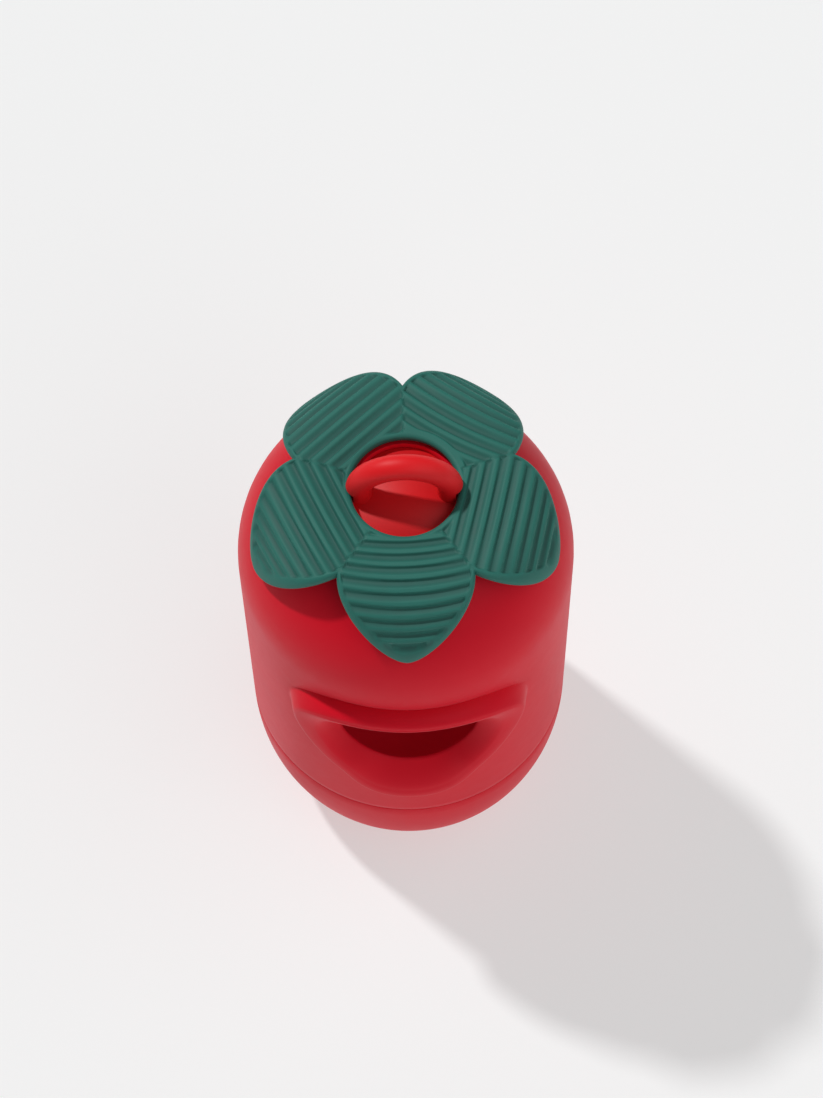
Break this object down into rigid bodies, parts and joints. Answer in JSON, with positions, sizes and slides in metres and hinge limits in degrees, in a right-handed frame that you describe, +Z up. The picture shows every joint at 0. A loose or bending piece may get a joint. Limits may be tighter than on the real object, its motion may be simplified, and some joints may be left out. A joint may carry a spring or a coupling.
{
  "type": "treat dispensing shaker toy",
  "caption": "Berry-shaped hollow shaker that drops treats from a lipped mouth, with a weighted plug-in base holding sealed rattle beads, a soft leaf collar and a hanging loop.",
  "frame": {"origin": "centre of the foot's bottom face, on the axis of the round body", "axes": "+Z up along the body's axis towards the loop, -Y out of the mouth, +X to the right of someone facing the mouth"},
  "size_m": [0.064, 0.0666, 0.1237],
  "materials": {
    "body": "soft-touch matte red",
    "loop": "satin bright red",
    "leaf": "matte moulded soft rubber with raised ribs",
    "foot_rubber": "matte",
    "seal": "satin",
    "inner_plastic": "plain moulded",
    "steel": "plain"
  },
  "bodies": {
    "base": {"base_cup": "body", "foot_pad": "foot_rubber", "ballast_weight": "steel", "ballast_cover": "inner_plastic", "chamber_floor": "body", "floor_screws": "steel"},
    "seal": {"seal_ring": "seal"},
    "beads": {"rattle_beads": "steel"},
    "upper": {"upper_shell": "body", "hanging_loop": "loop", "loop_washer": "steel", "loop_screw": "steel"},
    "leaf": {"leaf_collar": "leaf"}
  },
  "joints": [
    {"name": "shell_turn", "type": "hinge", "parent": "base", "child": "seal", "pos_m": [0, 0, 0.0341], "axis": [0, 0, 1], "continuous": true},
    {"name": "shell_lift", "type": "slide", "parent": "seal", "child": "upper", "axis": [0, 0, 1], "range_m": [0, 0.045]},
    {"name": "leaf_turn", "type": "hinge", "parent": "upper", "child": "leaf", "pos_m": [0, 0, 0.1126], "axis": [0, 0, 1], "continuous": true},
    {"name": "bead_shake", "type": "slide", "parent": "base", "child": "beads", "axis": [0, 0, 1], "range_m": [0, 0.0145]}
  ]
}
